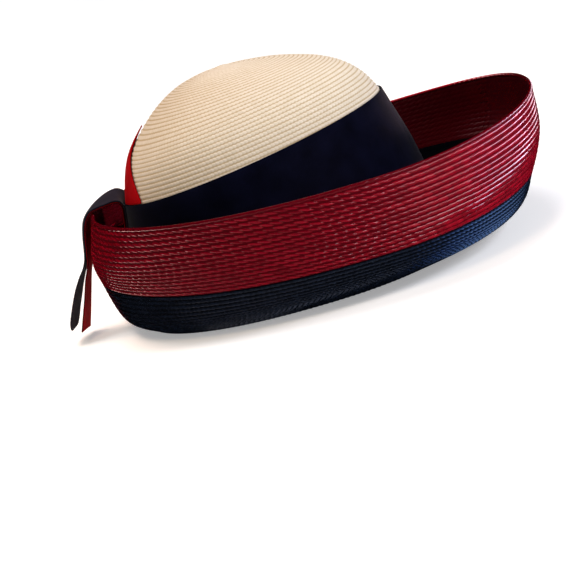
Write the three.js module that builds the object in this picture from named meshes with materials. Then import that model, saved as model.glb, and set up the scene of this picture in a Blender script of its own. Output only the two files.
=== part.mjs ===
// Straw hat with a round crown and a deep upturned brim in two colours.
// A ribbon band goes round the crown, a pointed ribbon tab lies on the back of the crown,
// and a strap of two ribbons bridges from the band over the back of the rim and ends in two tails.
// Millimetres. +Z is up, +X is the front of the hat, and z = 0 is the surface that it rests on.

import * as THREE from 'three';

// Thicknesses and clearances.
const STRAW_THICKNESS = 2;
const RIBBON_THICKNESS = 1;
const PIECE_GAP = 0.3;

// Facets round the hat, across a ribbon, and along one row of each table below.
const FACETS_ROUND = 60;
const FACETS_ACROSS = 4;
const STEPS_PER_CROWN_ROW = 2;
const STEPS_PER_BRIM_ROW = 3;
const STEPS_PER_RIBBON_ROW = 2;

// How full the outlines are seen from above: 2 is an ellipse, more is squarer.
const CROWN_FULLNESS = 2;
const BRIM_FULLNESS = 2.2;

// Outer face of the crown, from its foot to its tip. Front and back are reaches from the crown's axis.
const CROWN_FOOT = STRAW_THICKNESS + PIECE_GAP;
const CROWN_SECTIONS = [
  { z: CROWN_FOOT, front: 96.5, back: 98.5, side: 84.0 },
  { z: 32.0, front: 94.2, back: 97.2, side: 82.3 },
  { z: 62.0, front: 89.4, back: 94.4, side: 79.0 },
  { z: 86.0, front: 82.9, back: 88.8, side: 74.0 },
  { z: 104.0, front: 77.2, back: 81.0, side: 68.0 },
  { z: 118.0, front: 67.0, back: 68.6, side: 58.3 },
  { z: 128.5, front: 51.0, back: 55.6, side: 45.8 },
  { z: 136.0, front: 28.0, back: 41.0, side: 29.7 },
  { z: 139.6, front: 6.5, back: 26.0, side: 14.0 },
  { z: 140.4, front: -6.0, back: 14.0, side: 3.5 },
];

// Outer face of the brim, from the edge of the head opening to the rim. The widest station lies
// ahead of the crown's axis, and the rim dips at the sides.
const OPENING_FRONT = CROWN_SECTIONS[0].front - STRAW_THICKNESS;
const OPENING_BACK = CROWN_SECTIONS[0].back - STRAW_THICKNESS;
const OPENING_SIDE = CROWN_SECTIONS[0].side - STRAW_THICKNESS;
const OPENING = {
  front: OPENING_FRONT, back: OPENING_BACK, side: OPENING_SIDE,
  widest: (OPENING_FRONT - OPENING_BACK) / 2, frontZ: 0, sideZ: 0, backZ: 0,
};
const BRIM_SECTIONS = [
  { front: 107.0, back: 101.5, side: 90.0, widest: 14, frontZ: 0.0, sideZ: 0.0, backZ: 0.0 },
  { front: 143.0, back: 115.5, side: 114.5, widest: 40, frontZ: 11.5, sideZ: 11.5, backZ: 11.5 },
  { front: 156.0, back: 121.5, side: 125.6, widest: 50, frontZ: 31.0, sideZ: 26.4, backZ: 37.5 },
  { front: 166.0, back: 122.5, side: 132.5, widest: 51, frontZ: 54.0, sideZ: 47.0, backZ: 53.0 },
  { front: 167.5, back: 114.0, side: 136.0, widest: 51, frontZ: 80.0, sideZ: 71.2, backZ: 78.0 },
];
const COLOUR_LINE_ROW = 2;

// Band round the crown: its lower edge is level, and its upper edge rises towards the front.
const BAND_LOWER_Z = CROWN_FOOT + 1.5;
const BAND_UPPER_Z = 89;
const BAND_RISE = 0.13;
const BAND_STEPS = 6;

// Tab on the back of the crown, pointed at the top.
const TAB_HALF_WIDTH = 40;
const TAB_TIP_HALF_WIDTH = 1.5;
const TAB_TIP_Z = 119;
const TAB_TAPER = 1.3;
const TAB_STEPS = 8;
const TAB_FACETS_ACROSS = 8;

// Strap ribbons. The path is the upper face of the navy ribbon on the centre line, from its sewn end
// on the band, up and over the rim. Bow draws both edges towards the hat, lift raises the left edge,
// and skew draws the left edge towards the hat and the right one away from it.
const RIBBON_HALF_WIDTH = 15;
const STRAP_PATH = [
  { x: -96.0, z: 62.0, bow: 1.7, lift: 0.0, skew: 0.0 },
  { x: -94.5, z: 70.0, bow: 1.7, lift: 0.0, skew: 0.0 },
  { x: -93.6, z: 76.5, bow: 1.7, lift: 0.0, skew: 0.0 },
  { x: -95.2, z: 81.6, bow: 1.5, lift: 0.8, skew: 0.0 },
  { x: -99.2, z: 83.8, bow: 1.2, lift: 1.5, skew: 0.0 },
  { x: -104.6, z: 83.4, bow: 1.0, lift: 1.5, skew: 0.0 },
  { x: -110.2, z: 82.2, bow: 0.8, lift: 0.8, skew: 0.0 },
  { x: -116.0, z: 80.0, bow: 0.6, lift: 0.0, skew: 0.0 },
  { x: -121.8, z: 74.2, bow: 0.6, lift: 0.0, skew: 0.0 },
  { x: -125.2, z: 65.0, bow: 0.6, lift: 0.0, skew: 0.0 },
  { x: -127.4, z: 56.0, bow: 0.6, lift: 0.0, skew: 0.0 },
];
const NAVY_TAIL_PATH = [
  { x: -129.4, z: 48.0, bow: 0.4, lift: 0.0, skew: 0.0 },
  { x: -134.2, z: 41.4, bow: 0.3, lift: 0.0, skew: 0.4 },
  { x: -138.8, z: 34.0, bow: 0.3, lift: 0.0, skew: 0.8 },
  { x: -143.0, z: 26.0, bow: 0.3, lift: 0.0, skew: 1.0 },
  { x: -147.2, z: 17.4, bow: 0.3, lift: 0.0, skew: 1.0 },
  { x: -150.4, z: 9.0, bow: 0.3, lift: 0.0, skew: 1.0 },
];
const RED_TAIL_PATH = [
  { x: -127.8, z: 48.0, bow: 0.4, lift: 0.0, skew: 0.0 },
  { x: -130.8, z: 39.5, bow: 0.3, lift: 0.0, skew: 0.0 },
  { x: -135.4, z: 27.5, bow: 0.3, lift: -0.6, skew: 0.0 },
  { x: -139.9, z: 16.0, bow: 0.3, lift: -1.4, skew: 0.1 },
  { x: -143.8, z: 6.2, bow: 0.3, lift: -2.1, skew: 0.1 },
];
const NAVY_END_ROUNDING = 9;
const NAVY_END_SHARE = 0.35;

// Colours and finishes.
const CREAM_STRAW = { color: 0xdccaa6, roughness: 0.5, metalness: 0 };
const RED_STRAW = { color: 0x8c1222, roughness: 0.35, metalness: 0 };
const NAVY_STRAW = { color: 0x161c2e, roughness: 0.4, metalness: 0 };
const NAVY_RIBBON = { color: 0x101328, roughness: 0.75, metalness: 0 };
const RED_RIBBON = { color: 0x8e0d14, roughness: 0.75, metalness: 0 };

// A smooth curve through the rows of a table: place 0 is the first row, place 1 the second, and so on.
function throughRows(table) {
  const columns = Object.keys(table[0]);
  const places = table.map((row, place) => place);
  const values = table.flatMap((row) => columns.map((column) => row[column]));
  const spline = new THREE.CubicInterpolant(places, values, columns.length);
  return (place) => {
    const blend = spline.evaluate(place);
    return Object.fromEntries(columns.map((column, k) => [column, blend[k]]));
  };
}

// Evenly spaced numbers from one value to another, both included.
function steps(from, to, count) {
  return Array.from({ length: count + 1 }, (unused, k) => THREE.MathUtils.lerp(from, to, k / count));
}

const roundTurns = steps(0, 2 * Math.PI, FACETS_ROUND).slice(0, FACETS_ROUND);

// A point of a closed outline, at a turn round from the front.
function outlinePoint(section, turn, fullness) {
  const ahead = Math.cos(turn);
  const aside = Math.sin(turn);
  const power = 2 / fullness;
  const reach = ahead > 0 ? section.front - section.widest : section.back + section.widest;
  const endZ = ahead > 0 ? section.frontZ : section.backZ;
  const y = section.side * Math.sign(aside) * Math.abs(aside) ** power;
  return new THREE.Vector3(
    section.widest + Math.sign(ahead) * reach * Math.abs(ahead) ** power,
    y,
    section.sideZ + (endZ - section.sideZ) * (1 - (y / section.side) ** 2),
  );
}

// The crown's outline at a place in its table.
const crownRow = throughRows(CROWN_SECTIONS);

function crownSection(place) {
  const { z, front, back, side } = crownRow(place);
  return { front, back, side, widest: (front - back) / 2, frontZ: z, sideZ: z, backZ: z };
}

// The crown's outline at a height, found by halving the span of places.
function crownSectionAtHeight(height) {
  let low = 0;
  let high = CROWN_SECTIONS.length - 1;
  while (high - low > 1e-6) {
    const middle = (low + high) / 2;
    if (crownRow(middle).z < height) low = middle;
    else high = middle;
  }
  return crownSection(low);
}

// The outward direction at each point of a grid of points.
function gridNormals(grid, round) {
  const lastRow = grid.length - 1;
  const count = grid[0].length;
  return grid.map((row, i) => row.map((point, j) => {
    const next = round ? (j + 1) % count : Math.min(j + 1, count - 1);
    const previous = round ? (j + count - 1) % count : Math.max(j - 1, 0);
    const across = row[next].clone().sub(row[previous]);
    const along = grid[Math.min(i + 1, lastRow)][j].clone().sub(grid[Math.max(i - 1, 0)][j]);
    return across.cross(along).normalize();
  }));
}

// Each point of a grid moved along its outward direction.
function offsetGrid(grid, distance, round) {
  const normals = gridNormals(grid, round);
  return grid.map((row, i) => row.map((point, j) => point.clone().addScaledVector(normals[i][j], distance)));
}

function centreOf(points) {
  const sum = points.reduce((total, point) => total.add(point), new THREE.Vector3());
  return sum.divideScalar(points.length);
}

// A closed wall under a grid of points on its outer face. Round joins the ends of each row,
// and domed closes the last row over its centre.
function wallGeometry(outer, thickness, { round = false, domed = false } = {}) {
  const inner = offsetGrid(outer, -thickness, round);
  const rows = outer.length;
  const count = outer[0].length;
  const points = [...outer.flat(), ...inner.flat()];
  const top = (i, j) => i * count + (j % count);
  const under = (i, j) => rows * count + top(i, j);
  const faces = [];
  const quad = (a, b, c, d) => faces.push(a, b, c, a, c, d);
  const spans = round ? count : count - 1;
  for (let j = 0; j < spans; j += 1) {
    for (let i = 0; i < rows - 1; i += 1) {
      quad(top(i, j), top(i, j + 1), top(i + 1, j + 1), top(i + 1, j));
      quad(under(i, j + 1), under(i, j), under(i + 1, j), under(i + 1, j + 1));
    }
    quad(top(0, j + 1), top(0, j), under(0, j), under(0, j + 1));
    if (!domed) quad(top(rows - 1, j), top(rows - 1, j + 1), under(rows - 1, j + 1), under(rows - 1, j));
  }
  if (!round) {
    for (let i = 0; i < rows - 1; i += 1) {
      quad(top(i, 0), top(i + 1, 0), under(i + 1, 0), under(i, 0));
      quad(top(i + 1, count - 1), top(i, count - 1), under(i, count - 1), under(i + 1, count - 1));
    }
  }
  if (domed) {
    const topCentre = points.push(centreOf(outer[rows - 1])) - 1;
    const underCentre = points.push(centreOf(inner[rows - 1])) - 1;
    for (let j = 0; j < count; j += 1) {
      faces.push(top(rows - 1, j), top(rows - 1, j + 1), topCentre);
      faces.push(under(rows - 1, j + 1), under(rows - 1, j), underCentre);
    }
  }
  const geometry = new THREE.BufferGeometry().setFromPoints(points);
  geometry.setIndex(faces);
  geometry.computeVertexNormals();
  return geometry;
}

function piece(name, geometry, finish) {
  const mesh = new THREE.Mesh(geometry, new THREE.MeshStandardMaterial(finish));
  mesh.name = name;
  return mesh;
}

function ringOf(section, fullness) {
  return roundTurns.map((turn) => outlinePoint(section, turn, fullness));
}

// Crown: a hollow dome, open at its foot.
function crown() {
  const lastPlace = CROWN_SECTIONS.length - 1;
  const places = steps(0, lastPlace, lastPlace * STEPS_PER_CROWN_ROW);
  const rings = places.map((place) => ringOf(crownSection(place), CROWN_FULLNESS));
  return piece('crown', wallGeometry(rings, STRAW_THICKNESS, { round: true, domed: true }), CREAM_STRAW);
}

// Brim: the navy base lies flat round the head opening and turns up as far as the colour line,
// and the red wall carries on from there to the rim.
const brimRow = throughRows(BRIM_SECTIONS);

function brimRings(fromPlace, toPlace) {
  const count = Math.round((toPlace - fromPlace) * STEPS_PER_BRIM_ROW);
  return steps(fromPlace, toPlace, count).map((place) => ringOf(brimRow(place), BRIM_FULLNESS));
}

function brimBase() {
  const rings = [ringOf(OPENING, CROWN_FULLNESS), ...brimRings(0, COLOUR_LINE_ROW)];
  return piece('brim_base', wallGeometry(rings, STRAW_THICKNESS, { round: true }), NAVY_STRAW);
}

function brimWall() {
  const rows = BRIM_SECTIONS.slice(COLOUR_LINE_ROW, COLOUR_LINE_ROW + 2);
  const gapPlace = PIECE_GAP / (rows[1].sideZ - rows[0].sideZ);
  const rings = brimRings(COLOUR_LINE_ROW + gapPlace, BRIM_SECTIONS.length - 1);
  return piece('brim_wall', wallGeometry(rings, STRAW_THICKNESS, { round: true }), RED_STRAW);
}

// The height of the band's upper edge at a turn round the crown.
function bandUpperHeight(turn) {
  let height = BAND_UPPER_Z;
  for (let pass = 0; pass < 4; pass += 1) {
    const point = outlinePoint(crownSectionAtHeight(height), turn, CROWN_FULLNESS);
    height = BAND_UPPER_Z + BAND_RISE * point.x;
  }
  return height;
}

// Ribbon that lies on the crown keeps a gap to the straw under it.
function ribbonOnCrown(grid, round) {
  return wallGeometry(offsetGrid(grid, PIECE_GAP + RIBBON_THICKNESS, round), RIBBON_THICKNESS, { round });
}

// Band round the crown.
function hatBand() {
  const upper = roundTurns.map(bandUpperHeight);
  const rings = steps(0, 1, BAND_STEPS).map((share) => roundTurns.map((turn, j) => {
    const height = THREE.MathUtils.lerp(BAND_LOWER_Z, upper[j], share);
    return outlinePoint(crownSectionAtHeight(height), turn, CROWN_FULLNESS);
  }));
  return piece('hat_band', ribbonOnCrown(rings, true), NAVY_RIBBON);
}

// A point on the back of the crown, from its distance to the right or left and its height.
function crownBackPoint(y, height) {
  const section = crownSectionAtHeight(height);
  return outlinePoint(section, Math.PI - Math.asin(y / section.side), CROWN_FULLNESS);
}

// Tab on the back of the crown, standing on the band's upper edge.
function backTab() {
  const grid = steps(0, 1, TAB_STEPS).map((share) => {
    const halfWidth = Math.max(TAB_TIP_HALF_WIDTH, TAB_HALF_WIDTH * (1 - share ** TAB_TAPER));
    return steps(halfWidth, -halfWidth, TAB_FACETS_ACROSS).map((y) => {
      const turn = Math.PI - Math.asin(y / crownSectionAtHeight(BAND_UPPER_Z).side);
      const foot = bandUpperHeight(turn) + PIECE_GAP;
      return crownBackPoint(y, THREE.MathUtils.lerp(foot, TAB_TIP_Z, share));
    });
  });
  return piece('back_tab', ribbonOnCrown(grid, false), RED_RIBBON);
}

// The same path one layer lower, by stepping square to it at each row.
function lowerPath(path, depth) {
  return path.map((row, k) => {
    const before = path[Math.max(k - 1, 0)];
    const after = path[Math.min(k + 1, path.length - 1)];
    const length = Math.hypot(after.x - before.x, after.z - before.z);
    return {
      ...row,
      x: row.x - depth * (after.z - before.z) / length,
      z: row.z + depth * (after.x - before.x) / length,
    };
  });
}

// The upper face of a ribbon along a path, with its half width given by the distance to its end.
function ribbonFace(path, halfWidthAt) {
  const pathRow = throughRows(path);
  const lastPlace = path.length - 1;
  const end = path[lastPlace];
  return steps(0, lastPlace, lastPlace * STEPS_PER_RIBBON_ROW).map((place) => {
    const { x, z, bow, lift, skew } = pathRow(place);
    const halfWidth = halfWidthAt(Math.hypot(end.x - x, end.z - z));
    return steps(-1, 1, FACETS_ACROSS).map((share) => new THREE.Vector3(
      x + bow * share ** 2 + skew * share,
      halfWidth * share,
      z + lift * share,
    ));
  });
}

// The navy ribbon lies on top, and its tail has a rounded end.
function navyRibbon() {
  const roundEnd = (toEnd) => {
    const inRounding = Math.max(0, 1 - toEnd / NAVY_END_ROUNDING);
    return RIBBON_HALF_WIDTH * Math.sqrt(1 - (1 - NAVY_END_SHARE ** 2) * inRounding ** 2);
  };
  const face = ribbonFace([...STRAP_PATH, ...NAVY_TAIL_PATH], roundEnd);
  return piece('navy_ribbon', wallGeometry(face, RIBBON_THICKNESS), NAVY_RIBBON);
}

// The red ribbon follows one layer under the navy one, and its tail has a slanting cut end.
function redRibbon() {
  const path = [...lowerPath(STRAP_PATH, RIBBON_THICKNESS + PIECE_GAP), ...RED_TAIL_PATH];
  const face = ribbonFace(path, () => RIBBON_HALF_WIDTH);
  return piece('red_ribbon', wallGeometry(face, RIBBON_THICKNESS), RED_RIBBON);
}

const hat = new THREE.Group();
hat.add(crown(), brimBase(), brimWall(), hatBand(), backTab(), navyRibbon(), redRibbon());

// The origin is the middle of the hat's length and width, on the surface that it rests on.
const box = new THREE.Box3().setFromObject(hat);
hat.position.x = -(box.min.x + box.max.x) / 2;

export default hat;
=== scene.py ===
# %% [markdown]
# # A straw hat with an upturned brim
# The hat is sewn from rows of straw braid: a cream crown, and a brim that lies flat round the head and
# then turns up, navy below and red above. A navy ribbon goes round the crown, a pointed red tab lies on
# the back of the crown, and a strap of two ribbons bridges from the band over the back of the rim.
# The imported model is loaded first. It is the fixed frame that everything here is measured from.

# %% The frame
import math

import bmesh
import bpy
import numpy as np
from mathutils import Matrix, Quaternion, Vector


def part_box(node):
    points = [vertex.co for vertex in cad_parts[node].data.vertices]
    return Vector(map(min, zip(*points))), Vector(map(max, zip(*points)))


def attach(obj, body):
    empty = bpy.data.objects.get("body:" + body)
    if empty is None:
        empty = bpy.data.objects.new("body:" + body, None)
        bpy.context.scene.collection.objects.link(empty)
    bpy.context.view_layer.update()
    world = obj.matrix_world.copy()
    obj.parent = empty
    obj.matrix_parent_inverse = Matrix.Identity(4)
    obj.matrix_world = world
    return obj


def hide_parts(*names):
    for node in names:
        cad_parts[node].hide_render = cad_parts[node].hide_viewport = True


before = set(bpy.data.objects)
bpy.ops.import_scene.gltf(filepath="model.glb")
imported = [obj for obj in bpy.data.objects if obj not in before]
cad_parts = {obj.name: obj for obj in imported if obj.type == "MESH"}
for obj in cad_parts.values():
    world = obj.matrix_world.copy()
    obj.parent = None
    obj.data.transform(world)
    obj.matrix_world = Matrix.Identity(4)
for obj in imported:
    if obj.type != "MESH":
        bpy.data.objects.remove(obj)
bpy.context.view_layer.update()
scene = bpy.context.scene
MM = 0.001
print("nodes in the frame:", ", ".join(sorted(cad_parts)))

# %% [markdown]
# ## Camera
# The picture was taken from the hat's right side, a little above its base, with the hat tipped back.
# Here the hat stands level, so the camera is rolled instead. A long lens from about a metre away gives the
# same mild perspective. A camera could be turned by hand, but a place, a target and a roll can be read.

# %% Camera
PICTURE_SIDE_PX = 580
FOCAL_LENGTH_PX = 1440
SENSOR_WIDTH_MM = 36
CAMERA_PLACE = Vector((35.5, -889.4, 210.7)) * MM
CAMERA_TARGET = Vector((-19.1, 0.0, -7.5)) * MM
CAMERA_ROLL = math.radians(-17.4)

camera_data = bpy.data.cameras.new("camera")
camera_data.sensor_width = SENSOR_WIDTH_MM
camera_data.lens = SENSOR_WIDTH_MM * FOCAL_LENGTH_PX / PICTURE_SIDE_PX
camera = bpy.data.objects.new("camera", camera_data)
scene.collection.objects.link(camera)
camera.location = CAMERA_PLACE
camera.rotation_mode = "QUATERNION"
level = (CAMERA_TARGET - CAMERA_PLACE).to_track_quat("-Z", "Y")
camera.rotation_quaternion = level @ Quaternion((0, 0, 1), CAMERA_ROLL)
scene.camera = camera
print("lens in mm:", round(camera_data.lens, 1))

# %% [markdown]
# ## Colours and nodes
# Colours are written as sRGB hex values, as a colour picker shows them, and one function turns them to the
# linear values that shaders work in. One more function adds a node: an input that is given a socket is
# linked to it, and any other input is set to its value.

# %% Colours and nodes
def linear(hex_colour):
    """The linear RGBA of an sRGB hex colour."""
    channels = [int(hex_colour[k:k + 2], 16) / 255 for k in (1, 3, 5)]
    return [c / 12.92 if c <= 0.04045 else ((c + 0.055) / 1.055) ** 2.4 for c in channels] + [1.0]


def add_node(tree, kind, inputs=None, **settings):
    """A new node with its settings, its input values and its links."""
    node = tree.nodes.new(kind)
    for name, value in settings.items():
        setattr(node, name, value)
    for name, value in (inputs or {}).items():
        if isinstance(value, bpy.types.NodeSocket):
            tree.links.new(value, node.inputs[name])
        else:
            node.inputs[name].default_value = value
    return node


def new_material(name):
    """An empty material and its node tree."""
    material = bpy.data.materials.new(name)
    material.use_nodes = True
    material.node_tree.nodes.clear()
    return material, material.node_tree


print("mid grey #808080 is", round(linear("#808080")[0], 3), "in linear light")

# %% [markdown]
# ## The form of the hat
# A milliner blocks the straw over a form. The form here is two tables of sections, one row for each height,
# with a smooth curve through each column. A point on the form is found from a place up the table and a turn
# round from the front. A mesh could be sculpted instead, but the same numbers give the solids of the frame,
# so the straw lies on them with no fitting.

# %% The form of the hat
STRAW_THICKNESS = 2.0
CROWN_FULLNESS = 2.0
BRIM_FULLNESS = 2.2
PLACE_SAMPLES = 2000
SLOPE_STEP = 1e-4


def sections(names, *rows):
    """A table by the names of its columns, with one row for each section."""
    return dict(zip(names.split(), np.array(rows, float).T))


CROWN = sections(
    "z front back side",
    (2.3, 96.5, 98.5, 84.0),
    (32.0, 94.2, 97.2, 82.3),
    (62.0, 89.4, 94.4, 79.0),
    (86.0, 82.9, 88.8, 74.0),
    (104.0, 77.2, 81.0, 68.0),
    (118.0, 67.0, 68.6, 58.3),
    (128.5, 51.0, 55.6, 45.8),
    (136.0, 28.0, 41.0, 29.7),
    (139.6, 6.5, 26.0, 14.0),
    (140.4, -6.0, 14.0, 3.5),
)
BRIM = sections(
    "front back side widest front_z side_z back_z",
    (107.0, 101.5, 90.0, 14, 0.0, 0.0, 0.0),
    (143.0, 115.5, 114.5, 40, 11.5, 11.5, 11.5),
    (156.0, 121.5, 125.6, 50, 31.0, 26.4, 37.5),
    (166.0, 122.5, 132.5, 51, 54.0, 47.0, 53.0),
    (167.5, 114.0, 136.0, 51, 80.0, 71.2, 78.0),
)
CROWN_TOP = len(CROWN["z"]) - 1
CROWN_TIP = (CROWN["front"][-1] - CROWN["back"][-1]) / 2
COLOUR_LINE = 2
RIM = len(BRIM["side"]) - 1
OPENING = {side: CROWN[side][0] - STRAW_THICKNESS for side in ("front", "back", "side")}
OPENING.update(widest=(OPENING["front"] - OPENING["back"]) / 2, front_z=0.0, side_z=0.0, back_z=0.0)

# The crown's axis stands ahead of its back by the crown's reach to the back.
crown_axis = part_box("crown")[0].x / MM + CROWN["back"][0]


def through(values, place):
    """A smooth curve through a column: place 0 is its first value, place 1 the second, and so on."""
    padded = np.array([2 * values[0] - values[1], *values, 2 * values[-1] - values[-2]])
    row = np.clip(np.floor(place).astype(int), 0, len(values) - 2)
    a, b, c, d = (padded[row + k] for k in range(4))
    p = place - row
    return b + 0.5 * p * (c - a + p * (2 * a - 5 * b + 4 * c - d + p * (3 * (b - c) + d - a)))


def outline(section, turn, fullness):
    """Points of a closed outline, rounder or squarer by its fullness."""
    ahead, aside = np.cos(turn), np.sin(turn)
    across = np.sign(aside) * np.abs(aside) ** (2 / fullness)
    reach = np.where(ahead > 0, section["front"] - section["widest"], section["back"] + section["widest"])
    end_z = np.where(ahead > 0, section["front_z"], section["back_z"])
    x = section["widest"] + np.sign(ahead) * reach * np.abs(ahead) ** (2 / fullness)
    z = section["side_z"] + (end_z - section["side_z"]) * (1 - across ** 2)
    return np.stack(np.broadcast_arrays(x, section["side"] * across, z), -1)


def crown_form(place, turn):
    """The crown's outer face, from its foot at place 0 up to its top."""
    section = {name: through(values, place) for name, values in CROWN.items()}
    section["widest"] = (section["front"] - section["back"]) / 2
    section.update(front_z=section["z"], side_z=section["z"], back_z=section["z"])
    return outline(section, turn, CROWN_FULLNESS)


def brim_form(place, turn):
    """The brim's outer face. Below place 0 it is the flat ring, in to the head opening at place -1."""
    section = {name: through(values, np.maximum(place, 0)) for name, values in BRIM.items()}
    ring = outline(section, turn, BRIM_FULLNESS)
    inward = np.maximum(-place, 0)[..., None]
    return ring + (outline(OPENING, turn, CROWN_FULLNESS) - ring) * inward


def over(form, place, turn, height):
    """Points at a height in millimetres over a form, in metres and in the frame."""
    place, turn, height = np.broadcast_arrays(*(np.asarray(v, float) for v in (place, turn, height)))
    along = form(place, turn + SLOPE_STEP) - form(place, turn - SLOPE_STEP)
    upward = form(place + SLOPE_STEP, turn) - form(place - SLOPE_STEP, turn)
    outward = np.cross(along, upward)
    outward /= np.linalg.norm(outward, axis=-1, keepdims=True)
    return (form(place, turn) + outward * height[..., None] + [crown_axis, 0, 0]) * MM


def crown_place(z):
    """The place up the crown's table at a height."""
    places = np.linspace(0, CROWN_TOP, PLACE_SAMPLES)
    return np.interp(z, through(CROWN["z"], places), places)


print("crown axis in mm from the origin:", round(crown_axis, 2))

# %% [markdown]
# ## Ground under the braid
# Rows of braid are sewn to the rows beside them, so there is always straw behind the gaps. That ground is a
# thin closed ring. A flat grid is rolled up twice, once round the hat and once round the wall's section, and
# its meeting edges are merged. Extruding ring after ring would give the same shape with more steps.

# %% Ground under the braid
GROUND_DEPTH = 0.6
GROUND_FACETS = 180
MERGE_DISTANCE = 1e-7


def add_object(name, mesh):
    """A new object in the scene, at the origin and unturned."""
    piece = bpy.data.objects.new(name, mesh)
    scene.collection.objects.link(piece)
    return piece


def rolled_ring(name, facets, section_steps, locate):
    """A closed ring: a grid rolled round the hat and round a section, which locate(turn, step) places."""
    bm = bmesh.new()
    bmesh.ops.create_grid(bm, x_segments=facets, y_segments=section_steps, size=0.5)
    flat = np.array([vert.co for vert in bm.verts])
    turns = (flat[:, 0] + 0.5) * 2 * np.pi
    steps = np.rint((flat[:, 1] + 0.5) * section_steps).astype(int) % section_steps
    for vert, place in zip(bm.verts, locate(turns, steps)):
        vert.co = place
    bmesh.ops.remove_doubles(bm, verts=bm.verts, dist=MERGE_DISTANCE)
    mesh = bpy.data.meshes.new(name)
    bm.to_mesh(mesh)
    bm.free()
    mesh.shade_smooth()
    return add_object(name, mesh)


def ground_ring(name, form, edges):
    """The ground behind rows of braid: up the rows near the outer face, then down them near the inner one."""
    places = np.concatenate([edges, edges[::-1]])
    depths = np.repeat([-GROUND_DEPTH, GROUND_DEPTH - STRAW_THICKNESS], len(edges))
    return rolled_ring(name, GROUND_FACETS, len(places),
                       lambda turn, step: over(form, places[step], turn, depths[step]))


print("thickness of the ground in mm:", round(STRAW_THICKNESS - 2 * GROUND_DEPTH, 2))

# %% [markdown]
# ## One strand of the braid
# In a plait each strand shows as a slanting lozenge that dips under its neighbours at every edge. One such
# lozenge is modelled: a small grid, raised in the middle, and closed by one face across its back.
# It is laid many thousand times, so it has only a few faces.

# %% One strand of the braid
def strand_mesh(name, steps_along, steps_across, row_depth, strand_depth, row_step, row_give=0.0):
    """A closed lozenge: x in strand widths, y in row heights, and z in millimetres below the braid's face.

    The row falls away by row_depth at its edges and the strand by strand_depth at its own. The row's upper
    edge lies deeper by row_step, under the next row. Row_give is the part of the row's fall that is lost
    where strands are pressed flat."""
    bm = bmesh.new()
    bmesh.ops.create_grid(bm, x_segments=steps_across, y_segments=steps_along, size=0.5)
    uv = bm.loops.layers.uv.new("plait")
    for face in bm.faces:
        for loop in face.loops:
            loop[uv].uv = loop.vert.co.xy + Vector((0.5, 0.5))
    for vert in bm.verts:
        x, y = vert.co.xy
        vert.co.z = -row_depth * (2 * y) ** 2 - strand_depth * (2 * x) ** 2 - row_step * (0.5 + y)
    for face in bm.faces:
        face.smooth = True
    rim = [edge for edge in bm.edges if edge.is_boundary]
    back = bmesh.ops.contextual_create(bm, geom=rim)["faces"]
    bm.normal_update()
    for face in back:
        face.smooth = False
        if face.normal.z > 0:
            face.normal_flip()
    mesh = bpy.data.meshes.new(name)
    bm.to_mesh(mesh)
    bm.free()
    mesh["strand_depth"] = strand_depth
    mesh["row_give"] = row_give
    print(f"{name}: {len(mesh.polygons)} faces")
    return mesh


red_strand = strand_mesh("red_strand", 4, 4, row_depth=1.1, strand_depth=0.5, row_step=0.2, row_give=0.3)
navy_strand = strand_mesh("navy_strand", 3, 2, row_depth=0.8, strand_depth=0.35, row_step=0.12)
cream_strand = strand_mesh("cream_strand", 2, 2, row_depth=0.74, strand_depth=0.18, row_step=0.2)
inner_strand = strand_mesh("inner_strand", 2, 2, row_depth=0.45, strand_depth=0.05, row_step=0.1)

# %% [markdown]
# ## Rows of braid
# The strands are laid side by side along each row, as many as fit its length, so they keep their real size
# where the rows get shorter. Every corner of a strand is found on the form itself, so a strand bends with it.
# An Array modifier on a curve could lay one row, but arrays of numbers lay a whole wall at once. Each strand
# has a tone of its own and a small tilt, which is a share of its depth. The red braid is pressed flat at the
# front, so its strands stand out and lean less there. Pressed strands, and all those of the fine braids, are
# shaded by their broad faces, because the face across the back would darken their edges.

# %% Rows of braid
RING_SAMPLES = 1441
LINE_SAMPLES = 400
STRAND_FILL = 1.02
ROW_FILL = 1.12
OUTSIDE_TONES = (0.66, 0.94)
# Low tones bring the inside strands to the gap colour: painted shade inside the hat.
INSIDE_SHADE_TONES = (0.1, 0.3)
STRAND_TILT = 0.16
FLAT_TO_TURN = 1.25
ROUND_FROM_TURN = 1.6
PRESSED_BELOW = 0.6
FEWEST_STRANDS = 14


def ring_travel(form, place):
    """Turns round one row, and the distance travelled up to each."""
    turns = np.linspace(0, 2 * np.pi, RING_SAMPLES)
    ring = form(np.full(RING_SAMPLES, place), turns)
    gaps = np.linalg.norm(np.diff(ring, axis=0), axis=1)
    return turns, np.concatenate([[0], np.cumsum(gaps)])


def even_edges(form, first, last, rows, widening=1.0):
    """Places of row edges up the side, evenly spaced, or with rows that widen upwards."""
    places = np.linspace(first, last, LINE_SAMPLES)
    line = form(places, np.full(LINE_SAMPLES, np.pi / 2))
    travel = np.concatenate([[0], np.cumsum(np.linalg.norm(np.diff(line, axis=0), axis=1))])
    return np.interp(travel[-1] * np.linspace(0, 1, rows + 1) ** widening, travel, places)


def relief(turn, at_front):
    """How far strands stand out and lean at a turn: a share at the front, and all of it at the back."""
    from_front = np.abs((turn + np.pi) % (2 * np.pi) - np.pi)
    return np.interp(from_front, [FLAT_TO_TURN, ROUND_FROM_TURN], [at_front, 1])


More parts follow.
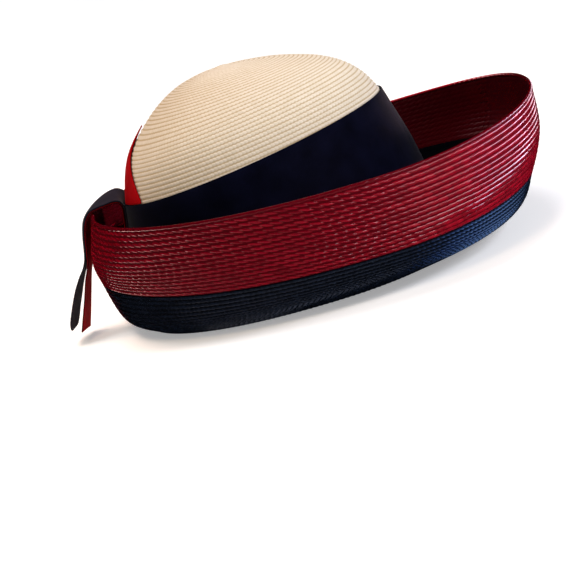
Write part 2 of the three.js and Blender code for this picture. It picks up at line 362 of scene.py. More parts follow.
def lay_braid(name, form, edges, strand, repeat, lean, inside=False, at_front=1.0, even=False, seed=1):
    """One object of all the strands between the row edges. Lean is the slant over a row, in strand widths.

    Strands on the inside lie on the other face and take darker tones, as painted shade. At_front
    is the relief that is left at the front, and even shades every strand by its broad faces."""
    rng = np.random.default_rng(seed)
    shape = np.array([vert.co for vert in strand.vertices])
    give = strand["strand_depth"] * (2 * shape[:, 0]) ** 2 + strand["row_give"] * (2 * shape[:, 1]) ** 2
    laid, tones, stands = [], [], []
    for low, high in zip(edges[:-1], edges[1:]):
        middle = (low + high) / 2
        turns, travel = ring_travel(form, middle)
        count = max(FEWEST_STRANDS, round(travel[-1] / repeat))
        width = travel[-1] / count
        starts = (np.arange(count) + rng.random()) * width
        stand = relief(np.interp(starts % travel[-1], travel, turns), at_front)[:, None]
        offsets = (shape[:, 0] * STRAND_FILL - shape[:, 1] * lean * stand) * width
        turn = np.interp((starts[:, None] + offsets) % travel[-1], travel, turns)
        tilt = rng.normal(0, STRAND_TILT * strand["strand_depth"], (count, 2))
        depth = shape[:, 2] + tilt[:, :1] * shape[:, 0] + tilt[:, 1:] * shape[:, 1]
        depth = np.minimum(depth + (1 - stand) * give, 0)
        height = -STRAW_THICKNESS - depth if inside else depth
        laid.append(over(form, middle + shape[:, 1] * ROW_FILL * (high - low), turn, height))
        tones.append(rng.uniform(*(INSIDE_SHADE_TONES if inside else OUTSIDE_TONES), count))
        stands.append(stand[:, 0])
    braid = copies_mesh(name, strand, np.concatenate(laid), np.concatenate(tones), inside)
    pressed = np.repeat((np.concatenate(stands) < PRESSED_BELOW) | even, len(shape))
    print(f"{name}: {len(edges) - 1} rows, {len(pressed) // len(shape)} strands")
    if pressed.any():
        braid.vertex_groups.new(name="pressed").add(np.nonzero(pressed)[0].tolist(), 1, "REPLACE")
    return braid


def copies_mesh(name, shape, points, tones, flipped):
    """One mesh of many copies of a shape, with each copy's points, and its tone as an attribute."""
    copies = len(points)
    loops = np.empty(len(shape.loops), np.int32)
    shape.loops.foreach_get("vertex_index", loops)
    sizes = np.array([len(face.vertices) for face in shape.polygons])
    uv = np.empty(2 * len(loops), np.float32)
    shape.uv_layers["plait"].data.foreach_get("uv", uv)
    order = np.arange(len(loops))
    if flipped:
        starts = np.cumsum(sizes) - sizes
        order = np.concatenate([np.arange(s, s + n)[::-1] for s, n in zip(starts, sizes)])
    corner = (loops[order] + len(shape.vertices) * np.arange(copies)[:, None]).ravel()
    every_size = np.tile(sizes, copies)
    mesh = bpy.data.meshes.new(name)
    mesh.vertices.add(copies * len(shape.vertices))
    mesh.vertices.foreach_set("co", points.astype(np.float32).ravel())
    mesh.loops.add(len(corner))
    mesh.loops.foreach_set("vertex_index", corner.astype(np.int32))
    mesh.polygons.add(len(every_size))
    mesh.polygons.foreach_set("loop_start", (np.cumsum(every_size) - every_size).astype(np.int32))
    mesh.polygons.foreach_set("use_smooth", np.tile([face.use_smooth for face in shape.polygons], copies))
    mesh.update(calc_edges=True)
    layer = mesh.uv_layers.new(name="plait")
    layer.data.foreach_set("uv", np.tile(uv.reshape(-1, 2)[order], (copies, 1)).ravel())
    tone = mesh.attributes.new("tone", "FLOAT", "POINT")
    tone.data.foreach_set("value", np.repeat(tones, len(shape.vertices)).astype(np.float32))
    return add_object(name, mesh)


def with_tone(piece, value):
    """The same tone all over a piece."""
    tone = piece.data.attributes.new("tone", "FLOAT", "POINT")
    tone.data.foreach_set("value", np.full(len(piece.data.vertices), value, np.float32))
    return piece


def joined(name, parts):
    """One piece out of several objects."""
    with bpy.context.temp_override(active_object=parts[0], selected_editable_objects=parts):
        bpy.ops.object.join()
    piece = parts[0]
    piece.name = piece.data.name = name
    triangles = sum(len(face.vertices) - 2 for face in piece.data.polygons)
    print(f"{name}: {triangles} triangles")
    return piece


# %% [markdown]
# ## Straw
# Straw is a glossy stem that is split flat, dyed and plaited. Each strand takes the dye a little differently,
# has fine fibres along it, and shines. The tone of each strand picks its colour, and the fibres are a noise
# stretched along the strand. The ground has no tone, so it takes the gap colour, which is painted shade for
# the grooves. Ground and inside have duller straws of their own. An image could hold all this, but nodes
# keep to the width of a strand.

# %% Straw
TONE_SHARE = 0.65
FIBRES = (6, 0.8, 1)
GRAIN_SCALE = 1.6
GRAIN_DETAIL = 2
GRAIN_STRENGTH = 0.12
GRAIN_HEIGHT = 0.3
# Shares up to here take the gap colour, which is painted shade for the grooves.
GROOVE_SHADE_STOP = 0.4
DEEP_STOP = 0.52
LIGHT_STOP = 0.85


def straw(name, groove_shade, deep, light, roughness, gloss, tint="#FFFFFF"):
    """Straw in strands: the painted shade of the gaps, and the colours of the darkest and lightest strands.
    """
    material, tree = new_material(name)
    tone = add_node(tree, "ShaderNodeAttribute", attribute_name="tone")
    uv = add_node(tree, "ShaderNodeUVMap", uv_map="plait")
    # The fibres are about a tenth of a strand wide, coarser than real ones so that they show.
    fibres = add_node(tree, "ShaderNodeMapping", {"Vector": uv.outputs["UV"], "Scale": FIBRES})
    shifted = add_node(tree, "ShaderNodeCombineXYZ", {"Z": tone.outputs["Fac"]})
    moved = add_node(tree, "ShaderNodeVectorMath",
                     {0: fibres.outputs["Vector"], 1: shifted.outputs["Vector"]}, operation="ADD")
    grain = add_node(tree, "ShaderNodeTexNoise", {
        "Vector": moved.outputs["Vector"], "Scale": GRAIN_SCALE, "Detail": GRAIN_DETAIL})
    even = add_node(tree, "ShaderNodeMath", {0: tone.outputs["Fac"], 1: TONE_SHARE}, operation="MULTIPLY")
    share = add_node(tree, "ShaderNodeMath", {
        0: grain.outputs["Fac"], 1: 1 - TONE_SHARE, 2: even.outputs["Value"]}, operation="MULTIPLY_ADD")
    ramp = add_node(tree, "ShaderNodeValToRGB", {"Fac": share.outputs["Value"]})
    stops = ramp.color_ramp.elements
    stops[0].position, stops[0].color = GROOVE_SHADE_STOP, linear(groove_shade)
    stops[1].position, stops[1].color = LIGHT_STOP, linear(light)
    middle = stops.new(DEEP_STOP)
    middle.color = linear(deep)
    bump = add_node(tree, "ShaderNodeBump", {
        "Height": grain.outputs["Fac"], "Strength": GRAIN_STRENGTH, "Distance": GRAIN_HEIGHT * MM})
    shader = add_node(tree, "ShaderNodeBsdfPrincipled", {
        "Base Color": ramp.outputs["Color"],
        "Roughness": roughness,
        "Specular IOR Level": gloss,
        "Specular Tint": linear(tint),
        "Normal": bump.outputs["Normal"],
    })
    add_node(tree, "ShaderNodeOutputMaterial", {"Surface": shader.outputs["BSDF"]})
    return material


# Undyed straw: warm and pale, with a soft wide gloss.
cream_straw = straw("natural_straw", "#B5A689", "#CCC0AC", "#D6CCBD", roughness=0.5, gloss=0.25)
# Red straw: a deep colour with small sharp lights on each strand.
red_straw = straw("red_dyed_straw", "#4A0209", "#46020B", "#780518", roughness=0.14, gloss=0.5)
# Navy straw: nearly black, with a blue shine.
navy_straw = straw("navy_dyed_straw", "#04060B", "#06080D", "#121824",
                   roughness=0.18, gloss=0.32, tint="#86A6E6")
# Cream in the grooves and on the inside: nearly the same colours, matt. The gap colour is painted shade.
cream_ground = straw("shaded_natural_straw", "#B4A284", "#CCC0AC", "#D6CCBD", roughness=0.7, gloss=0.1)
cream_inside = straw("dull_natural_straw", "#B5A689", "#CCC0AC", "#D6CCBD", roughness=0.7, gloss=0.1)
# Red in the grooves: a darker gap colour as painted shade, and no shine, so that the rows stay apart.
red_ground = straw("dull_red_dyed_straw", "#3E0209", "#46020B", "#780518", roughness=0.6, gloss=0.01)
# Red on the inside: a darker gap colour as painted shade, with a weak shine along the rows.
red_inside = straw("inner_red_dyed_straw", "#34020A", "#46020B", "#780518", roughness=0.25, gloss=0.2)
# Navy in the grooves and on the inside: no shine, nearly black.
navy_inside = straw("dull_navy_dyed_straw", "#04060B", "#06080D", "#121824", roughness=0.6, gloss=0.01)
print("straws outside:", ", ".join(made.name for made in (cream_straw, red_straw, navy_straw)))


def finish_straw(name, node, parts):
    """One piece out of parts, each with its own straw, in the place of a node of the frame."""
    for part, material in parts:
        part.data.materials.append(material)
    piece = joined(name, [part for part, _ in parts])
    if "pressed" in piece.vertex_groups:
        shading = piece.modifiers.new("even_shading", "WEIGHTED_NORMAL")
        shading.mode = "FACE_AREA"
        shading.keep_sharp = True
        shading.vertex_group = "pressed"
    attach(piece, "root")
    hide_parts(node)
    return piece


# %% [markdown]
# ## Red wall of the brim
# The upper part of the brim is red braid on both faces, up to a rolled edge at the rim. Outside, the red rows
# lap over the navy braid, so on the inside the navy shows about 8 mm further up. The edge is a closed ring
# with a slanting groove at each wrap. A bevelled curve would be quicker, but would have no grooves.

# %% Red wall of the brim
RED_ROWS = 15
RED_WIDENING = 1.03
RED_REPEAT = 5.8
RED_LEAN = 1.6
RED_AT_FRONT = 0.2
RED_INNER_ROWS = 12
RED_START = COLOUR_LINE + 0.015
INNER_LINE = COLOUR_LINE + 0.39
BRAID_UNDER_BEAD = 0.85
GROUND_UNDER_BEAD = 0.4
RIM_BEAD_HEIGHT = 2.4
RIM_BEAD_SWELL = 0.15
RIM_BEAD_SIDES = 10
RIM_BEAD_TONE = 0.55
RIM_WRAPS = 150
RIM_WRAP_DEPTH = 0.3
RIM_GROOVE_SHARPNESS = 8
FACETS_PER_WRAP = 6

rim_drop = RIM_BEAD_HEIGHT / (BRIM["side_z"][RIM] - BRIM["side_z"][RIM - 1])
red_edges = even_edges(brim_form, RED_START, RIM - rim_drop * BRAID_UNDER_BEAD, RED_ROWS, RED_WIDENING)


def rim_bead_point(turn, step):
    """The rolled edge: an oval section round the middle of the wall, with a slanting groove at each wrap."""
    angle = 2 * np.pi * step / RIM_BEAD_SIDES
    half_wall = STRAW_THICKNESS / 2
    groove = RIM_WRAP_DEPTH * np.sin((turn * RIM_WRAPS - angle) / 2) ** RIM_GROOVE_SHARPNESS
    place = RIM - rim_drop * (0.5 + 0.5 * np.sin(angle))
    return over(brim_form, place, turn, -half_wall - (half_wall + RIM_BEAD_SWELL - groove) * np.cos(angle))


inner_red_edges = even_edges(brim_form, INNER_LINE, red_edges[-1], RED_INNER_ROWS)
brim_wall = finish_straw("brim_wall_braid", "brim_wall", [
    (lay_braid("red_outer", brim_form, red_edges, red_strand, RED_REPEAT, RED_LEAN,
               at_front=RED_AT_FRONT, seed=11), red_straw),
    (with_tone(rolled_ring("rim_bead", FACETS_PER_WRAP * RIM_WRAPS, RIM_BEAD_SIDES, rim_bead_point),
               RIM_BEAD_TONE), red_straw),
    (ground_ring("red_ground", brim_form, np.append(red_edges, RIM - rim_drop * GROUND_UNDER_BEAD)),
     red_ground),
    (lay_braid("red_inner", brim_form, inner_red_edges, inner_strand, RED_REPEAT, RED_LEAN,
               inside=True, seed=12), red_inside),
])

# %% [markdown]
# ## Navy base of the brim
# The lower part is a finer navy braid. It lies flat round the head opening and turns up to the colour line.
# A real one is sewn as one long spiral. Closed rings look the same and leave no end to be hidden.

# %% Navy base of the brim
NAVY_ROWS = 21
NAVY_FLAT_ROWS = 3
NAVY_INNER_ROWS = 20
NAVY_REPEAT = 3.2
NAVY_INNER_REPEAT = 8.0
NAVY_LEAN = 1.5

flat_edges = np.linspace(-1, 0, NAVY_FLAT_ROWS + 1)[:-1]
navy_edges = np.append(flat_edges, even_edges(brim_form, 0, COLOUR_LINE, NAVY_ROWS))
inner_navy_edges = np.append(flat_edges, even_edges(brim_form, 0, INNER_LINE, NAVY_INNER_ROWS))
brim_base = finish_straw("brim_base_braid", "brim_base", [
    (lay_braid("navy_outer", brim_form, navy_edges, navy_strand, NAVY_REPEAT, NAVY_LEAN,
               even=True, seed=21), navy_straw),
    (ground_ring("navy_ground", brim_form, navy_edges), navy_inside),
    (lay_braid("navy_inner", brim_form, inner_navy_edges, inner_strand, NAVY_INNER_REPEAT, NAVY_LEAN,
               inside=True, seed=22), navy_inside),
])

# %% [markdown]
# ## Cream crown
# The crown's rows are rings that close in to a small button at the top. Outside they rise to the front,
# nearly as the band's edge does, and come level at the button. The band hides the lower rows, so the outer
# braid starts just under the band's edge. Inside, level rows go all the way down. The rows could be cut out
# of the crown by slanting planes, but a form with raised rings takes the same braid as the brim.

# %% Cream crown
CROWN_ROW = 2.65
CROWN_REPEAT = 2.4
CROWN_INNER_REPEAT = 6.5
CROWN_LEAN = 0.6
CROWN_GROUND_STEPS = 37
BRAID_FROM_Z = 76
ROW_RISE = 0.11
LEVEL_OVER_MM = 25
RISE_ROUNDS = 4
BRAID_TOP = CROWN_TOP - 0.1
BUTTON_RADIUS = 5.6
BUTTON_FLATNESS = 0.28
BUTTON_FACETS = (24, 10)
BUTTON_TONE = 0.7


def rising_form(place, turn):
    """The crown's face with rings that rise to the front, less and less towards the top."""
    level = through(CROWN["z"], place)
    rise = ROW_RISE * np.clip((CROWN["z"][-1] - level) / LEVEL_OVER_MM, 0, 1)
    raised = place
    for _ in range(RISE_ROUNDS):
        raised = crown_place(level + rise * (crown_form(raised, turn)[..., 0] - CROWN_TIP))
    return crown_form(raised, turn)


def crown_edges(first):
    """Places of row edges from a first place up to the button, about one row's height apart."""
    line = crown_form(np.linspace(first, BRAID_TOP, LINE_SAMPLES), np.full(LINE_SAMPLES, np.pi / 2))
    length = np.linalg.norm(np.diff(line, axis=0), axis=1).sum()
    return even_edges(crown_form, first, BRAID_TOP, round(length / CROWN_ROW))


def button():
    """The plaited knot that closes the top, as a flat dome."""
    bm = bmesh.new()
    around, upward = BUTTON_FACETS
    bmesh.ops.create_uvsphere(bm, u_segments=around, v_segments=upward, radius=BUTTON_RADIUS * MM)
    bmesh.ops.scale(bm, vec=(1, 1, BUTTON_FLATNESS), verts=bm.verts)
    middle = CROWN_TIP + crown_axis
    top = CROWN["z"][-1] - STRAW_THICKNESS / 2
    bmesh.ops.translate(bm, vec=Vector((middle, 0, top)) * MM, verts=bm.verts)
    mesh = bpy.data.meshes.new("button")
    bm.to_mesh(mesh)
    bm.free()
    mesh.shade_smooth()
    return add_object("button", mesh)


outer_edges = crown_edges(crown_place(BRAID_FROM_Z))
inner_edges = crown_edges(0)
finish_straw("crown_braid", "crown", [
    (lay_braid("cream_outer", rising_form, outer_edges, cream_strand, CROWN_REPEAT, CROWN_LEAN,
               even=True, seed=31), cream_straw),
    (with_tone(button(), BUTTON_TONE), cream_straw),
    (ground_ring("cream_ground", crown_form, np.linspace(0, CROWN_TOP, CROWN_GROUND_STEPS)), cream_ground),
    (lay_braid("cream_inner", crown_form, inner_edges, inner_strand, CROWN_INNER_REPEAT, CROWN_LEAN,
               inside=True, seed=32), cream_inside),
])

# %% [markdown]
# ## Ribbon
# The trimmings are a close woven ribbon with fine ribs across it, matt at first sight and with a soft sheen
# at a slant. The ribs follow the ribbon, so the pattern reads a map that is laid out in millimetres along
# and across each ribbon. Ribs could be modelled, but at one millimetre a bump looks the same. Uneven wear and
# dust are a faint, wide noise. The red strap's cut edges are painted dark, as painted shade, and the strap's
# navy is painted lighter and greyer, as a painted sheen.

# %% Ribbon
RIB_PITCH = 1.0
RIB_STRENGTH = 0.12
RIB_HEIGHT = 0.2
WEAR_SCALE = 0.06
WEAR_DETAIL = 3
DEEP_UP_TO = 0.3
LIGHT_FROM = 0.75
CLOTH_THICKNESS = 0.8


def ribbon_cloth(name, deep, light, sheen):
    """Ribbed ribbon cloth between two shades."""
    material, tree = new_material(name)
    uv = add_node(tree, "ShaderNodeUVMap", uv_map="weave")
    parts = add_node(tree, "ShaderNodeSeparateXYZ", {"Vector": uv.outputs["UV"]})
    phase = add_node(tree, "ShaderNodeMath", {
        0: parts.outputs["X"], 1: 2 * math.pi / RIB_PITCH}, operation="MULTIPLY")
    ribs = add_node(tree, "ShaderNodeMath", {0: phase.outputs["Value"]}, operation="SINE")
    # The map is in millimetres, so this scale gives patches about 17 mm wide.
    wear = add_node(tree, "ShaderNodeTexNoise", {
        "Vector": uv.outputs["UV"], "Scale": WEAR_SCALE, "Detail": WEAR_DETAIL})
    colour = add_node(tree, "ShaderNodeValToRGB", {"Fac": wear.outputs["Fac"]})
    stops = colour.color_ramp.elements
    stops[0].position, stops[0].color = DEEP_UP_TO, linear(deep)
    stops[1].position, stops[1].color = LIGHT_FROM, linear(light)
    bump = add_node(tree, "ShaderNodeBump", {
        "Height": ribs.outputs["Value"], "Strength": RIB_STRENGTH, "Distance": RIB_HEIGHT * MM})
    shader = add_node(tree, "ShaderNodeBsdfPrincipled", {
        "Base Color": colour.outputs["Color"],
        "Roughness": 0.6,
        "Specular IOR Level": 0.02,
        "Sheen Weight": sheen,
        "Sheen Roughness": 0.4,
        "Normal": bump.outputs["Normal"],
    })
    add_node(tree, "ShaderNodeOutputMaterial", {"Surface": shader.outputs["BSDF"]})
    return material


# The band's navy: deep and matt, with a trace of sheen at a slant.
navy_cloth = ribbon_cloth("navy_ribbon_cloth", "#03040F", "#080A1C", sheen=0.03)
# The strap's navy: greyer and lighter, a painted sheen on the strap's top.
sheen_painted_navy_cloth = ribbon_cloth("navy_ribbon_cloth_painted_sheen", "#1C1A26", "#2A2834", sheen=0.05)
# Red ribbon: a clear flat red.
red_cloth = ribbon_cloth("red_ribbon_cloth", "#8A040A", "#A80A12", sheen=0.0)
# The red strap's cut edge: painted dark as painted shade, so that it reads as a line beside the navy.
red_edge_shade = ribbon_cloth("red_ribbon_edge_painted_shade", "#26020A", "#34040E", sheen=0.0)
print("ribs in each cm of ribbon:", round(10 / RIB_PITCH))

# %% [markdown]
# ## Laying a ribbon
# Every ribbon starts as a flat grid, which is then laid on the crown or along a path. The grid's own
# coordinates become the weave map before it is moved. Solidify gives the cloth its thickness and Bevel
# softens its cut edges. Cloth that is sewn down, or that hangs along a line which can be seen, needs no
# simulation, because its shape is known.

# %% Laying a ribbon
RIBBON_THICKNESS = 1.0
PIECE_GAP = 0.3
OVER_STRAW = PIECE_GAP + RIBBON_THICKNESS
CUT_EDGE_ROUNDING = CLOTH_THICKNESS / 4
CUT_EDGE_STEPS = 2
CUT_EDGE_ANGLE = math.radians(50)


def laid_ribbon(name, grid_steps, flat, locate, material, edge=None):
    """A ribbon from a grid of shares across, from -1 to 1, and along, from 0 to 1, which locate places."""
    bm = bmesh.new()
    bmesh.ops.create_grid(bm, x_segments=grid_steps[0], y_segments=grid_steps[1], size=0.5)
    weave = bm.loops.layers.uv.new("weave")
    for face in bm.faces:
        for loop in face.loops:
            loop[weave].uv = (loop.vert.co.y * flat[1], loop.vert.co.x * flat[0])
    shares = np.array([vert.co for vert in bm.verts])
    for vert, place in zip(bm.verts, locate(2 * shares[:, 0], shares[:, 1] + 0.5)):
        vert.co = place
    mesh = bpy.data.meshes.new(name)
    bm.to_mesh(mesh)
    bm.free()
    mesh.materials.append(material)
    mesh.materials.append(edge or material)
    mesh.shade_smooth()
    piece = add_object(name, mesh)
    solidify = piece.modifiers.new("thickness", "SOLIDIFY")
    solidify.thickness = CLOTH_THICKNESS * MM
    solidify.offset = -1
    # The cut edges take the edge material; for the red strap that is painted shade.
    solidify.material_offset_rim = 1
    bevel = piece.modifiers.new("soft_edges", "BEVEL")
    bevel.width = CUT_EDGE_ROUNDING * MM
    bevel.segments = CUT_EDGE_STEPS
    bevel.limit_method = "ANGLE"
    bevel.angle_limit = CUT_EDGE_ANGLE
    return piece


def finish_ribbon(piece, node):
    """The piece takes its node's place."""
    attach(piece, "root")
    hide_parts(node)


# %% [markdown]
# ## Band round the crown
# The wide ribbon lies close on the crown. Its lower edge is level, its upper edge rises to the front, and its
# ends meet at the back, behind the strap. It is cut from a strip as tall as its front. A ring could be cut
# out of the crown's own faces, but a laid grid keeps the weave straight.

# %% Band round the crown
BAND_LOWER_Z = 3.8
BAND_UPPER_Z = 89.0
BAND_RISE = 0.13
BAND_FLAT = (98, 586)
BAND_GRID = (16, 240)
EDGE_ROUNDS = 5


def band_upper_z(turn):
    """The height of the band's upper edge at a turn, which rises with the crown's reach ahead there."""
    z = np.full_like(turn, BAND_UPPER_Z)
    for _ in range(EDGE_ROUNDS):
        z = BAND_UPPER_Z + BAND_RISE * crown_form(crown_place(z), turn)[..., 0]
    return z


def band_point(across, along):
    """A point of the band: across from its upper edge to its lower one, along from the back and round."""
    turn = np.pi * (1 + 2 * along)
    z = BAND_LOWER_Z + (band_upper_z(turn) - BAND_LOWER_Z) * (1 - across) / 2
    return over(crown_form, crown_place(z), turn, OVER_STRAW)


hat_band = laid_ribbon("hat_band_ribbon", BAND_GRID, BAND_FLAT, band_point, navy_cloth)
finish_ribbon(hat_band, "hat_band")

# %% [markdown]
# ## Tab on the back
# A red piece of the same ribbon stands on the band's edge and narrows to a point up the back of the crown.
# A triangle could be cut from a flat sheet. A grid whose sides draw in gives it the same curve as the crown.

# %% Tab on the back
TAB_HALF_WIDTH = 40
TAB_TIP_HALF_WIDTH = 1.5
TAB_TIP_Z = 119
TAB_TAPER = 1.3
TAB_FLAT = (88, 48)
TAB_GRID = (24, 32)


def tab_point(across, along):
    """A point of the tab: across from side to side, along from the band's edge up to the tip."""
    half_width = np.maximum(TAB_TIP_HALF_WIDTH, TAB_HALF_WIDTH * (1 - along ** TAB_TAPER))
    y = -across * half_width
    band_side = through(CROWN["side"], crown_place(BAND_UPPER_Z))
    foot = band_upper_z(np.pi - np.arcsin(y / band_side)) + PIECE_GAP
    place = crown_place(foot + (TAB_TIP_Z - foot) * along)
    turn = np.pi - np.arcsin(y / through(CROWN["side"], place))
    return over(crown_form, place, turn, OVER_STRAW)


back_tab = laid_ribbon("back_tab_ribbon", TAB_GRID, TAB_FLAT, tab_point, red_cloth)
finish_ribbon(back_tab, "back_tab")

# %% [markdown]
# ## Strap of two ribbons
# A navy ribbon and a red one under it are sewn to the back of the band, bridge over the trough to the rim and
# hang down outside as two tails. Each is laid along a path of a few rows. Bow draws both edges to the hat,
# lift raises the left edge, and skew swings the edges, as a ribbon turns a little when it hangs. A curve with
# a flat profile could follow the path, but its edges couldn't bow.

# %% Strap of two ribbons
RIBBON_HALF_WIDTH = 15
NAVY_END_ROUNDING = 9
NAVY_END_SHARE = 0.35
STRAP_GRID = (12, 110)
PATH_SAMPLES = 800
PATH_COLUMNS = "x z bow lift skew"
STRAP = sections(
    PATH_COLUMNS,
    (-96.0, 62.0, 1.7, 0.0, 0.0),
    (-94.5, 70.0, 1.7, 0.0, 0.0),
    (-93.6, 76.5, 1.7, 0.0, 0.0),
    (-95.2, 81.6, 1.5, 0.8, 0.0),
    (-99.2, 83.8, 1.2, 1.5, 0.0),
    (-104.6, 83.4, 1.0, 1.5, 0.0),
    (-110.2, 82.2, 0.8, 0.8, 0.0),
    (-116.0, 80.0, 1.0, 0.0, 0.0),
    (-121.8, 74.2, 2.0, 0.0, 0.0),
    (-125.2, 65.0, 2.2, 0.0, 0.0),
    (-127.4, 56.0, 2.2, 0.0, 0.0),
)
NAVY_TAIL = sections(
    PATH_COLUMNS,
    (-129.4, 48.0, 0.4, 0.0, 0.0),
    (-134.2, 41.4, 0.3, 0.0, 0.4),
    (-138.8, 34.0, 0.3, 0.0, 0.8),
    (-143.0, 26.0, 0.3, 0.0, 1.0),
    (-147.2, 17.4, 0.3, 0.0, 1.0),
    (-150.4, 9.0, 0.3, 0.0, 1.0),
)
RED_TAIL = sections(
    PATH_COLUMNS,
    (-127.8, 48.0, 1.6, 0.0, 0.0),
    (-130.8, 39.5, 0.3, 0.0, 0.0),
    (-135.4, 27.5, 0.3, -0.6, 0.0),
    (-139.9, 16.0, 0.3, -1.4, 0.1),
    (-143.8, 6.2, 0.3, -2.1, 0.1),
)


def lower_path(path, depth):
    """The same path one layer lower, stepped square to it."""
    across_x, across_z = np.gradient(path["z"]), np.gradient(path["x"])
    length = np.hypot(across_x, across_z)
    return {**path, "x": path["x"] - depth * across_x / length, "z": path["z"] + depth * across_z / length}


def end_to_end(path, tail):
    """One path out of two."""
    return {name: np.concatenate([path[name], tail[name]]) for name in path}


def path_ribbon(name, path, half_width, material, edge=None):
    """A ribbon along a path, evenly stepped in millimetres, and its flat size."""
    places = np.linspace(0, len(path["x"]) - 1, PATH_SAMPLES)
    steps = np.hypot(np.diff(through(path["x"], places)), np.diff(through(path["z"], places)))
    travel = np.concatenate([[0], np.cumsum(steps)])

    def locate(across, along):
        place = np.interp(along * travel[-1], travel, places)
        x, z, bow, lift, skew = (through(path[column], place) for column in PATH_COLUMNS.split())
        half = half_width((1 - along) * travel[-1])
        x = x + bow * across ** 2 + skew * across + crown_axis
        return np.stack([x, half * across, z + lift * across], -1) * MM

    flat = (2 * RIBBON_HALF_WIDTH, travel[-1])
    return laid_ribbon(name, STRAP_GRID, flat, locate, material, edge), flat


def rounded_end(to_end):
    """The navy ribbon's half width near its end."""
    share = np.maximum(0, 1 - to_end / NAVY_END_ROUNDING)
    return RIBBON_HALF_WIDTH * np.sqrt(1 - (1 - NAVY_END_SHARE ** 2) * share ** 2)


def even_width(to_end):
    """The red ribbon's half width, the same up to its end."""
    return np.full_like(to_end, RIBBON_HALF_WIDTH)


navy_path = end_to_end(STRAP, NAVY_TAIL)
red_path = end_to_end(lower_path(STRAP, RIBBON_THICKNESS + PIECE_GAP), RED_TAIL)
navy_strap, navy_flat = path_ribbon("navy_strap", navy_path, rounded_end, sheen_painted_navy_cloth)
red_strap, red_flat = path_ribbon("red_strap", red_path, even_width, red_cloth, red_edge_shade)
finish_ribbon(navy_strap, "navy_ribbon")
finish_ribbon(red_strap, "red_ribbon")

# %% [markdown]
# ## Floor and light
# A white floor runs on past the picture. The surround is pale behind the hat and dim on the camera's side, so
# that dark glossy straw stays dark. Fills give colour and shade: a wide one above, a warm one from the front,
# a cool one from the right, a weak orange one from the left, and a pink one for the red wall. Shines are
# lamps that only gloss shows, as dashes of light on the strands, and most are long and thin. Those below the
# floor's level stand for the light that a pale floor sends back up, and the floor lets them through. A lamp
# that is meant for one piece lights it alone. Two spots open up the shade under the strap and on the far
# inner wall.
# One picture of a room all round would be shorter, but lamps can be set one at a time.

# %% Floor and light
FLOOR_SIZE = 60.0
LIT_POINT = Vector((0, 0, 0.06))
STRAP_POINT = Vector((-0.125, 0.045, 0.06))
TROUGH_POINT = Vector((0.1, 0.11, 0.04))
FRONT_POINT = Vector((0.15, 0.02, 0.06))
FLOOR_GLOW = 0.34
DIM_SIDE = 0.1
PALE_SIDE = 1.05
DIM_UP_TO = 0.75
PALE_FROM = 0.95

# Powers of the low lamps by their degrees round the hat, and their height.
LOW_SHINES = {150: 1.6, 180: 1.8, 210: 1.4, 240: 0.6, 270: 0.4, 300: 0.4}
LOW_SHINE_Z = -0.42


def floor():
    """A wide white floor with a faint glow, which casts no shadow and shows in no gloss."""
    bm = bmesh.new()
    bmesh.ops.create_grid(bm, x_segments=1, y_segments=1, size=FLOOR_SIZE / 2)
    mesh = bpy.data.meshes.new("floor")
    bm.to_mesh(mesh)
    bm.free()
    material, tree = new_material("white_floor")
    shader = add_node(tree, "ShaderNodeBsdfPrincipled", {
        "Base Color": linear("#F7F7F7"),
        "Roughness": 0.9,
        "Emission Color": linear("#FFFFFF"),
        "Emission Strength": FLOOR_GLOW,
    })
    add_node(tree, "ShaderNodeOutputMaterial", {"Surface": shader.outputs["BSDF"]})
    mesh.materials.append(material)
    piece = add_object("floor", mesh)
    piece.visible_glossy = False
    piece.visible_shadow = False


def lamp(name, kind, place, power, colour, fills=True, shines=True, aim=LIT_POINT, **settings):
    """A lamp that points at the hat. It can fill with light, shine in gloss, or do both."""
    data = bpy.data.lights.new(name, kind)
    data.energy = power
    data.color = linear(colour)[:3]
    for setting, value in settings.items():
        setattr(data, setting, value)
    piece = bpy.data.objects.new(name, data)
    scene.collection.objects.link(piece)
    piece.location = place
    piece.visible_camera = False
    piece.visible_diffuse = fills
    piece.visible_glossy = shines
    piece.rotation_mode = "QUATERNION"
    piece.rotation_quaternion = (aim - Vector(place)).to_track_quat("-Z", "Y")
    return piece


def only_for(light, piece):
    """Let a lamp light one piece alone."""
    lit = bpy.data.collections.new(light.name + "_lights")
    lit.objects.link(piece)
    light.light_linking.receiver_collection = lit


def surround():
    """A world that is pale behind the hat and dim on the camera's side."""
    world = bpy.data.worlds.new("surround")
    world.cycles_visibility.glossy = False
    world.use_nodes = True
    tree = world.node_tree
    tree.nodes.clear()
    direction = add_node(tree, "ShaderNodeTexCoord")
    parts = add_node(tree, "ShaderNodeSeparateXYZ", {"Vector": direction.outputs["Generated"]})
    share = add_node(tree, "ShaderNodeMapRange", {
        "Value": parts.outputs["Y"],
        "From Min": DIM_UP_TO,
        "From Max": PALE_FROM,
        "To Min": DIM_SIDE,
        "To Max": PALE_SIDE,
    })
    pale = add_node(tree, "ShaderNodeBackground", {
        "Color": linear("#FFFFFF"), "Strength": share.outputs["Result"]})
    add_node(tree, "ShaderNodeOutputWorld", {"Surface": pale.outputs["Background"]})
    return world


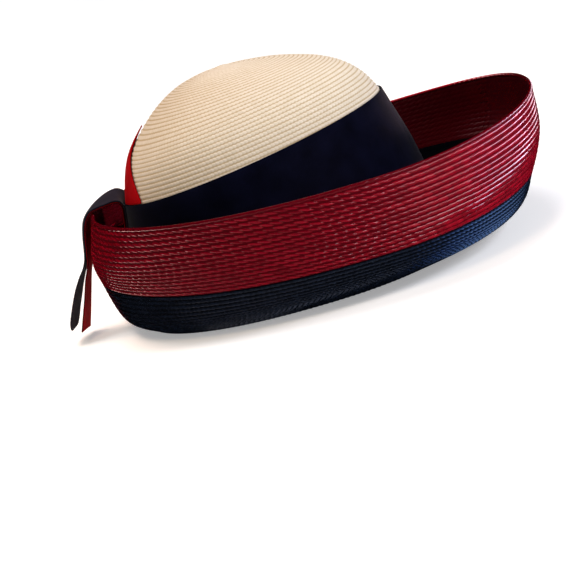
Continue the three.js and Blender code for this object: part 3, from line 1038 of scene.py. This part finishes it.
floor()
lamp("overhead", "SUN", place=(-0.35, 0.25, 2.0), power=2.1, colour="#FFFFFF", shines=False,
     angle=math.radians(40))
lamp("front_fill", "AREA", place=(-0.2, -0.85, 1.05), power=5.2, colour="#FFE6C8", shines=False, size=0.4)
lamp("right_fill", "AREA", place=(0.9, -0.5, 0.6), power=10, colour="#F4F6FF", shines=False, size=0.4)
lamp("left_fill", "AREA", place=(-0.5, 0.3, 1.0), power=3.0, colour="#FFA850", shines=False, size=0.4)
right_shine = lamp("right_shine", "AREA", place=(1.05, 0.0, 0.12), power=10, colour="#F0DCFF", fills=False,
                   shape="RECTANGLE", size=1.2, size_y=0.1)
only_for(right_shine, brim_wall)
table_shine = lamp("table_shine", "AREA", place=(0.7, 0.0, -0.6), power=8, colour="#8CB8FF", fills=False,
                   shape="RECTANGLE", size=1.2, size_y=0.6)
only_for(table_shine, brim_base)
strap_spot = lamp("strap_spot", "SPOT", place=(0.5, -0.6, 1.0), power=320, colour="#FFF0E8", shines=False,
                  aim=STRAP_POINT, spot_size=math.radians(4), spot_blend=0.5, shadow_soft_size=0.05)
only_for(strap_spot, brim_wall)
base_shine = lamp("base_shine", "AREA", place=(-0.2, -0.5, -0.8), power=3.2, colour="#FFE8D0", fills=False,
                  shape="RECTANGLE", size=1.4, size_y=0.14)
only_for(base_shine, brim_base)
wall_fill = lamp("wall_fill", "AREA", place=(1.0, -0.5, 0.1), power=8, colour="#FFD0E0", shines=False,
                 size=0.3)
only_for(wall_fill, brim_wall)
lamp("front_shine", "AREA", place=(0.6, -0.85, 0.25), power=5, colour="#FFE0EA", fills=False,
     shape="RECTANGLE", size=1.0, size_y=0.08)
lamp("back_shine", "AREA", place=(0.74, 0.74, 0.12), power=1.5, colour="#FFD8EC", fills=False,
     shape="RECTANGLE", size=0.8, size_y=0.1)
for around, power in LOW_SHINES.items():
    place = (math.cos(math.radians(around)), math.sin(math.radians(around)), LOW_SHINE_Z)
    low_shine = lamp(f"low_shine_{around}", "AREA", place, power, colour="#FFC8C0", fills=False,
                     shape="RECTANGLE", size=0.5, size_y=0.1)
    only_for(low_shine, brim_wall)
inside_shine = lamp("inside_shine", "AREA", place=(0.03, 0.18, 0.14), power=0.05, colour="#FFD0D0",
                    fills=False, aim=FRONT_POINT, shape="RECTANGLE", size=0.1, size_y=0.02)
only_for(inside_shine, brim_wall)
trough_spot = lamp("trough_spot", "SPOT", place=(0.3, 0.25, 1.0), power=400, colour="#FFE0E0", shines=False,
                   aim=TROUGH_POINT, spot_size=math.radians(11), spot_blend=0.6, shadow_soft_size=0.03)
only_for(trough_spot, brim_wall)
scene.world = surround()
scene.view_settings.view_transform = "Standard"
print("lamps:", ", ".join(light.name for light in bpy.data.lights))
